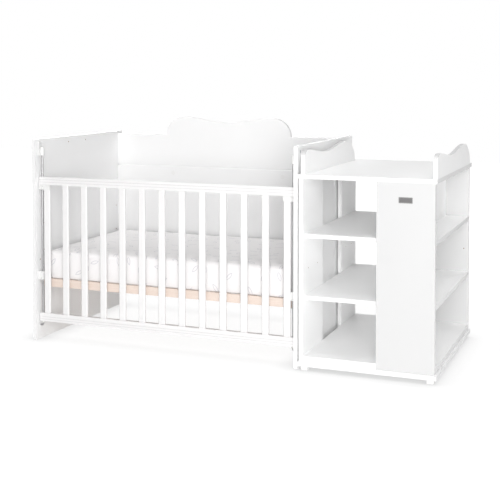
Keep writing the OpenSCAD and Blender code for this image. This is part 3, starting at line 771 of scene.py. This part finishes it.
@dataclass
class Hardware:
    """Rods, sockets, clips, bolts, pins and feet that hold the object together."""

    plastic_nodes: tuple[str, ...] = (
        "left_rod_socket",
        "right_rod_socket",
        "left_rod_clip",
        "right_rod_clip",
        "changer_feet",
        "link_spacers",
    )
    rods: tuple[str, ...] = ("left_guide_rod", "right_guide_rod")
    turned_steel: tuple[str, ...] = ("panel_bolts", "base_bolts", "link_bolts", "shelf_pins")
    pressed_steel: tuple[str, ...] = ("base_irons",)

    def build(self, plastic: bpy.types.Material) -> None:
        """Dresses every fitting.

        Args:
            plastic: The white plastic of the fittings.
        """
        pressed = ZincPlatedSteel(Axis.Z).material()
        turned = ZincPlatedSteel(Axis.X).material()
        for node in self.plastic_nodes:
            dress(node, plastic)
        for node in self.pressed_steel:
            dress(node, pressed)
        chrome = ChromedRod().material()
        for node in self.rods:
            dress(node, chrome)
        for node in self.turned_steel:
            dress(node, turned)
        dress("cover_caps", MouldedPlastic("moulded_white_cap", "E0E0DF", 0.45).material())
        dress("rod_stops", MouldedPlastic("moulded_rubber", "C9C9C6", 0.7).material())
        low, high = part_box("blank_plate")
        dress("blank_plate", BrushedPlate(tuple(low), tuple(high)).material())


@dataclass
class BedBase:
    """The beech frame and slats that carry the mattress, and the beech dowels of all the boards."""

    along: tuple[str, ...] = ("base_front_rail", "base_back_rail")
    across: tuple[str, ...] = ("base_left_rail", "base_right_rail", "base_slats")
    pegs: tuple[str, ...] = ("wooden_dowels",)

    def build(self) -> None:
        """Dresses the rails and slats with the grain along them, and the hidden dowels with it upright."""
        for nodes, grain in ((self.along, Axis.X), (self.across, Axis.Y), (self.pegs, Axis.Z)):
            beech = PlanedBeech(grain).material()
            for node in nodes:
                dress(node, beech)


@dataclass
class Mattress:
    """The padded mattress: foam in a printed jersey cover, sewn at its corners and lower edge."""

    node: str = "mattress"
    start_inset: float = 4 * MM
    sink: float = 4 * MM
    top_radius: float = 18 * MM
    bottom_radius: float = 6 * MM
    corner_radius: float = 26 * MM
    crown: float = 4 * MM
    draw: float = 1 * MM
    voxel: float = 9 * MM
    frames: int = 20
    pressure: float = 4.0
    cap: float = 7 * MM
    ring_step: float = 9 * MM
    seam_depth: float = 1.2 * MM
    seam_width: float = 3.5 * MM
    seam_height: float = 9 * MM
    wave_height: float = 1.6 * MM
    swell_room: float = 2 * MM
    arc_points: int = 7
    wall_points: int = 11
    run_points: int = 36
    corner_points: int = 10
    cloth_quality: int = 4
    lower_seam_gain: float = 1.5
    corner_seam_gain: float = 2.0
    corner_seam_cut: float = 0.6
    corner_seam_reach: float = 0.3
    corner_seam_fade: float = 20 * MM
    slack_fade: float = 30 * MM

    def profile(self, thick: float, half_width: float) -> np.ndarray:
        """The cross-section from the middle of the underside, round the side, to the middle of the top.

        The underside is flat. The side wall is drawn in at its edges by the square of the distance from
        its middle. The top rises as a quarter sine towards its middle.

        Args:
            thick: Thickness at the edge.
            half_width: Half of the mattress's width, where the section ends in the middle.

        Returns:
            Rows of distance inwards from the outline and height above the underside.
        """
        low_r, high_r = self.bottom_radius, self.top_radius
        turn = np.linspace(0, np.pi / 2, self.arc_points)
        wall = np.linspace(low_r, thick - high_r, self.wall_points)
        pull = self.draw * (2 * wall / thick - 1) ** 2
        share = np.linspace(0, 1, self.run_points)[1:]
        under_run = half_width - pull[0] - low_r
        over_run = half_width - pull[-1] - high_r
        under = np.stack([pull[0] + low_r + under_run * share[::-1], np.zeros_like(share)], 1)
        low = np.stack([pull[0] + low_r * (1 - np.sin(turn)), low_r * (1 - np.cos(turn))], 1)
        side = np.stack([pull[1:-1], wall[1:-1]], 1)
        high = np.stack([pull[-1] + high_r * (1 - np.cos(turn)), thick - high_r * (1 - np.sin(turn))], 1)
        rise = self.crown * np.sin(share * np.pi / 2)
        top = np.stack([pull[-1] + high_r + over_run * share, thick + rise], 1)
        return np.concatenate([under, low, side, high, top])

    def shell(self) -> bpy.types.Object:
        """The mattress's closed starting surface: the profile carried round a rounded rectangle.

        At each point of the profile the rectangle is drawn in by the profile's inset. Its points are
        those of a full outline, moved inwards, so that rows of faces run evenly round it. The underside
        starts a little low, because sewing presses it flat on the bed base.
        """
        low, high = (np.array(corner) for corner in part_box(self.node))
        middle = (low + high) / 2
        half = (high - low)[:2] / 2 - self.start_inset
        thick = (high - low)[2] - self.crown - self.swell_room + self.sink
        profile = self.profile(thick, half[1])
        straight = half - self.corner_radius
        turn = np.linspace(0, np.pi / 2, self.corner_points)
        ring = []
        for quarter, (sx, sy) in enumerate(((1, 1), (-1, 1), (-1, -1), (1, -1))):
            angle = turn + quarter * np.pi / 2
            centre = np.tile([sx * straight[0], sy * straight[1]], (len(angle), 1))
            ring.append(np.column_stack([centre, np.cos(angle), np.sin(angle)]))
        ring = self.filled(np.concatenate(ring))
        inset, height = profile[:, :1], profile[:, 1:]
        radius = self.corner_radius - inset
        reach = np.maximum(radius, 0)
        shrink = np.minimum(radius, 0)
        x = ring[:, 0] + np.sign(ring[:, 0]) * shrink + reach * ring[:, 2]
        y = np.sign(ring[:, 1]) * np.maximum(np.abs(ring[:, 1]) + shrink, 0) + reach * ring[:, 3]
        z = np.broadcast_to(height, x.shape)
        points = np.stack([x + middle[0], y + middle[1], z + low[2] - self.sink], -1)
        rows, columns = x.shape
        return mesh_piece("mattress_cover", points.reshape(-1, 3), grid_faces(rows, columns, True))

    def filled(self, ring: np.ndarray) -> np.ndarray:
        """Adds evenly spaced points along the straight sides of an outline.

        Args:
            ring: Rows of corner centre and outward direction.

        Returns:
            The same outline with no gap longer than the ring step.
        """
        place = ring[:, :2] + self.corner_radius * ring[:, 2:]
        after = np.roll(ring, -1, axis=0)
        gap = np.linalg.norm(np.roll(place, -1, axis=0) - place, axis=1)
        pieces = []
        for here, there, length in zip(ring, after, gap):
            count = max(1, math.ceil(length / self.ring_step))
            share = np.arange(count)[:, None] / count
            pieces.append(here + (there - here) * share)
        return np.concatenate(pieces)

    def swell(self, pad: bpy.types.Object) -> None:
        """Lets the cover swell over its foam, as cloth under a little air with no weight.

        No point moves further than the cap, and none sinks below the underside, which lies flat.

        Args:
            pad: The remeshed mattress.
        """
        rest = coordinates(pad)
        cloth = pad.modifiers.new("cover", "CLOTH")
        cloth.settings.use_pressure = True
        cloth.settings.uniform_pressure_force = self.pressure
        cloth.settings.effector_weights.gravity = 0
        cloth.settings.quality = self.cloth_quality
        cloth.point_cache.frame_start = 1
        cloth.point_cache.frame_end = self.frames
        for number in range(1, self.frames + 1):
            bpy.context.scene.frame_set(number)
        apply_modifiers(pad)
        move = coordinates(pad) - rest
        length = np.linalg.norm(move, axis=1, keepdims=True)
        swollen = rest + move * np.minimum(1, self.cap / np.maximum(length, 1e-9))
        swollen[:, 2] = np.maximum(swollen[:, 2], rest[:, 2].min())
        set_coordinates(pad, swollen)
        bpy.context.scene.frame_set(1)

    def sew(self, pad: bpy.types.Object) -> None:
        """Presses the seams and the slack of the cover into the finished surface.

        A seam is a groove with the section of a bell curve. One runs round the lower edge, and one goes
        up each corner. The slack is a sum of three long slow waves, which fades out on the underside.
        Last, what lies below the bed's surface is pressed up to it, which gives a crisp lower edge.

        Args:
            pad: The swollen mattress.
        """
        points = coordinates(pad)
        normals = np.empty(len(points) * 3)
        pad.data.vertices.foreach_get("normal", normals)
        normals = normals.reshape(-1, 3)
        low, high = points.min(axis=0), points.max(axis=0)
        low[2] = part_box(self.node)[0].z
        middle = (low + high) / 2
        level = np.linalg.norm(normals[:, :2], axis=1)
        above = points[:, 2] - low[2]
        lower = np.exp(-(((above - self.seam_height) / self.seam_width) ** 2))
        lower *= smooth_step(level * self.lower_seam_gain)
        corner = (high - low)[:2] / 2 - self.corner_radius
        past = np.abs((points - middle)[:, :2]) - corner
        across = (past[:, 0] - past[:, 1]) / math.sqrt(2)
        at_corner = smooth_step(past.min(axis=1) / (self.corner_seam_reach * self.corner_radius))
        at_corner *= smooth_step(above / self.corner_seam_fade)
        on_side = smooth_step(level * self.corner_seam_gain - self.corner_seam_cut)
        upright = np.exp(-((across / self.seam_width) ** 2)) * at_corner * on_side
        x, y, z = points.T
        # The factors are radians per metre, so the waves are 8 to 35 cm long.
        slack = (
            np.sin(23 * x + 9 * y + 1.3) * np.cos(17 * y - 6 * z)
            + 0.6 * np.sin(41 * x - 13 * y + 40 * z)
            + 0.4 * np.cos(67 * x + 31 * y + 22 * z + 0.7)
        )
        free = smooth_step(above / self.slack_fade)
        shift = 0.5 * self.wave_height * (slack - 1) * free - self.seam_depth * np.maximum(lower, upright)
        points += normals * shift[:, None]
        points[:, 2] = np.maximum(points[:, 2], low[2])
        set_coordinates(pad, points)

    def lay_out(self, pad: bpy.types.Object) -> None:
        """Gives the cover a UV map in metres, as if its sides were folded flat from the top.

        A long side's points lie below the top's edge by their depth, and an end's lie beyond it, so the
        print runs over the top edge without a break and meets itself only at the corner seams.

        Args:
            pad: The finished mattress.
        """
        points = coordinates(pad)
        low, high = points.min(axis=0), points.max(axis=0)
        loops = np.empty(len(pad.data.loops), int)
        pad.data.loops.foreach_get("vertex_index", loops)
        counts = np.empty(len(pad.data.polygons), int)
        pad.data.polygons.foreach_get("loop_total", counts)
        facing = np.empty(len(counts) * 3)
        pad.data.polygons.foreach_get("normal", facing)
        facing = np.repeat(facing.reshape(-1, 3), counts, axis=0)
        x, y, z = points[loops].T
        depth = high[2] - z
        end = np.abs(facing[:, 0]) > np.maximum(np.abs(facing[:, 1]), np.abs(facing[:, 2]))
        side = np.abs(facing[:, 1]) > np.maximum(np.abs(facing[:, 0]), np.abs(facing[:, 2]))
        u = np.where(end, x + np.sign(facing[:, 0]) * depth, x)
        v = np.where(side, y + np.sign(facing[:, 1]) * depth, y)
        layer = pad.data.uv_layers.new(name="cloth")
        layer.data.foreach_set("uv", np.stack([u - low[0], v - low[1]], 1).ravel())

    def build(self) -> None:
        """Builds the mattress, which replaces its plain CAD solid."""
        pad = self.shell()
        remesh = pad.modifiers.new("even_faces", "REMESH")
        remesh.mode = "VOXEL"
        remesh.voxel_size = self.voxel
        apply_modifiers(pad)
        self.swell(pad)
        finer = pad.modifiers.new("finer", "SUBSURF")
        finer.levels = finer.render_levels = 1
        apply_modifiers(pad)
        pad.data.polygons.foreach_set("use_smooth", np.ones(len(pad.data.polygons), bool))
        self.sew(pad)
        self.lay_out(pad)
        pad.data.materials.clear()
        pad.data.materials.append(PrintedJersey().material())
        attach(pad, "mattress")
        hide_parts(self.node)
        LOG.info("mattress_cover: %d faces", len(pad.data.polygons))


# ------------------------------------------------------------------ studio and camera


@dataclass(frozen=True)
class Lamp:
    """A soft lamp: its place, the point it faces, its size and its power in watts."""

    name: str
    place: Point
    aim: Point
    size: tuple[float, float]
    power: float

    def build(self) -> None:
        """Makes the lamp, which the camera doesn't see."""
        light = bpy.data.lights.new(self.name, "AREA")
        light.shape = "RECTANGLE"
        light.size, light.size_y = self.size
        light.energy = self.power
        lamp = bpy.data.objects.new(self.name, light)
        lamp.location = self.place
        lamp.rotation_euler = (Vector(self.aim) - Vector(self.place)).to_track_quat("-Z", "Y").to_euler()
        lamp.visible_camera = False
        bpy.context.scene.collection.objects.link(lamp)
        LOG.info("%s: %.0f W", self.name, self.power)


@dataclass
class Studio:
    """A plain pale floor in white surroundings, lit softly from the front, above, behind and the right."""

    floor_side: float = 18.0
    floor_drop: float = 0.5 * MM
    floor_colour: str = "F8F8F8"
    floor_glow: float = 0.31
    floor_seen: float = 0.16
    floor_lift: float = 0.9
    contact_shade: float = 0.42
    contact_reach: float = 0.1
    contact_samples: int = 16
    far_start: float = 1.1
    far_end: float = 2.2
    far_lift: float = 0.2
    lamps: tuple[Lamp, ...] = (
        Lamp("far_softbox", (2.9, -9.5, 1.7), (0.1, 0.0, 0.4), (4.0, 4.0), 338.0),
        Lamp("key_softbox", (2.4, -4.8, 2.2), (0.1, 0.0, 0.4), (2.2, 2.2), 107.0),
        Lamp("low_key_softbox", (2.4, -5.0, 0.7), (0.1, 0.0, 0.4), (1.8, 1.0), 76.0),
        Lamp("right_softbox", (8.0, 0.3, 1.0), (0.2, 0.0, 0.4), (3.0, 2.0), 15.0),
        Lamp("high_right_softbox", (2.6, -0.2, 3.8), (0.2, 0.0, 0.4), (2.5, 2.5), 22.0),
        Lamp("top_softbox", (0.2, -0.6, 3.6), (0.2, 0.0, 0.4), (4.0, 3.0), 69.0),
        Lamp("back_left_softbox", (-4.5, 4.5, 1.3), (0.0, 0.0, 0.4), (3.0, 2.4), 155.0),
        Lamp("low_back_left_softbox", (-2.5, 5.0, 0.8), (0.3, 0.0, 0.4), (3.0, 1.4), 105.0),
    )

    def floor(self) -> None:
        """Makes the floor, which the camera sees lifted to white while it keeps the soft shadow.

        The lift falls close to the object, by the share of the sky that is hidden within a hand's
        breadth, which paints a soft contact shadow, and rises to pure white in the distance.
        """
        half = self.floor_side / 2
        corners = np.array([[-half, -half], [half, -half], [half, half], [-half, half]])
        points = np.column_stack([corners, np.full(4, -self.floor_drop)])
        floor = mesh_piece("studio_floor", points, np.array([[0, 1, 2, 3]]))
        material, tree, output = new_tree("matt_white_paper")
        path = add(tree, "LightPath")
        paper = add(tree, "BsdfDiffuse", {"Color": linear(self.floor_colour)})
        glow = add(tree, "Emission", {"Strength": self.floor_glow}, label="glow")
        true_shade = add(tree, "AddShader", {0: paper.outputs[0], 1: glow.outputs[0]})
        seen_shade = add(tree, "BsdfDiffuse", {"Color": (self.floor_seen,) * 3 + (1.0,)})
        # Painted contact shadow: the lift dims where ambient occlusion finds the object close by.
        corner = add(tree, "AmbientOcclusion", {"Distance": self.contact_reach}, samples=self.contact_samples)
        dimmest = self.floor_lift * (1 - self.contact_shade)
        painted_contact_shadow = between(tree, corner.outputs["AO"], dimmest, self.floor_lift)
        away = add(tree, "VectorMath", {0: add(tree, "TexCoord").outputs["Object"]}, operation="LENGTH")
        rise = {"From Min": self.far_start, "From Max": self.far_end, "To Max": self.far_lift}
        far = add(tree, "MapRange", {"Value": away.outputs["Value"], **rise})
        strength = calc(tree, "ADD", painted_contact_shadow, far.outputs[0])
        lift = add(tree, "Emission", {"Strength": strength}, label="lift")
        lifted = add(tree, "AddShader", {0: seen_shade.outputs[0], 1: lift.outputs[0]})
        shaders = {0: path.outputs["Is Camera Ray"], 1: true_shade.outputs[0], 2: lifted.outputs[0]}
        mix = add(tree, "MixShader", shaders)
        tree.links.new(mix.outputs[0], output.inputs["Surface"])
        floor.data.materials.append(material)
        LOG.info("studio_floor: %.0f m square", self.floor_side)

    def surroundings(self) -> None:
        """Makes the world, which is white where it is seen or mirrored and gives no light of its own."""
        world = bpy.data.worlds.new("white_surroundings")
        world.use_nodes = True
        tree = world.node_tree
        tree.nodes.clear()
        path = add(tree, "LightPath")
        seen = path.outputs["Is Camera Ray"]
        for ray in ("Is Glossy Ray", "Is Transmission Ray"):
            seen = calc(tree, "MAXIMUM", seen, path.outputs[ray])
        background = add(tree, "Background", {"Color": (1.0, 1.0, 1.0, 1.0), "Strength": seen})
        add(tree, "OutputWorld", {"Surface": background.outputs[0]})
        bpy.context.scene.world = world
        LOG.info("%s", world.name)

    def build(self) -> None:
        """Makes the floor, the surroundings and the lamps."""
        self.floor()
        self.surroundings()
        for lamp in self.lamps:
            lamp.build()
        bpy.context.scene.view_settings.view_transform = "Standard"


@dataclass(frozen=True)
class PhotographCamera:
    """The photograph's viewpoint: chest height, in front and to the right, with a vertical shift.

    The shift keeps the boards' upright edges parallel, as the photograph shows them.
    """

    place: Point = (1.5731, -4.0322, 1.1282)
    turn: float = 21.507
    look_down: float = 2.19
    focal_length: float = 73.355
    sensor: float = 36.0
    shift: float = -0.2732

    def build(self) -> None:
        """Makes the camera and gives it to the scene."""
        data = bpy.data.cameras.new("photograph_camera")
        data.lens = self.focal_length
        data.sensor_width = self.sensor
        data.shift_y = self.shift
        camera = bpy.data.objects.new("photograph_camera", data)
        camera.location = self.place
        camera.rotation_euler = (math.radians(90 - self.look_down), 0, math.radians(self.turn))
        bpy.context.scene.collection.objects.link(camera)
        bpy.context.scene.camera = camera


def main() -> None:
    """Builds the camera, the studio and every sub-assembly in order."""
    logging.basicConfig(level=logging.INFO, format="%(message)s")
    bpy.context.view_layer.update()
    PhotographCamera().build()
    Studio().build()
    plastic = MouldedPlastic("moulded_white_abs", "D6D6D5", 0.4).material()
    BoardWork().build()
    DropSide().build(plastic)
    Hardware().build(plastic)
    BedBase().build()
    Mattress().build()


if __name__ == "__main__":
    main()
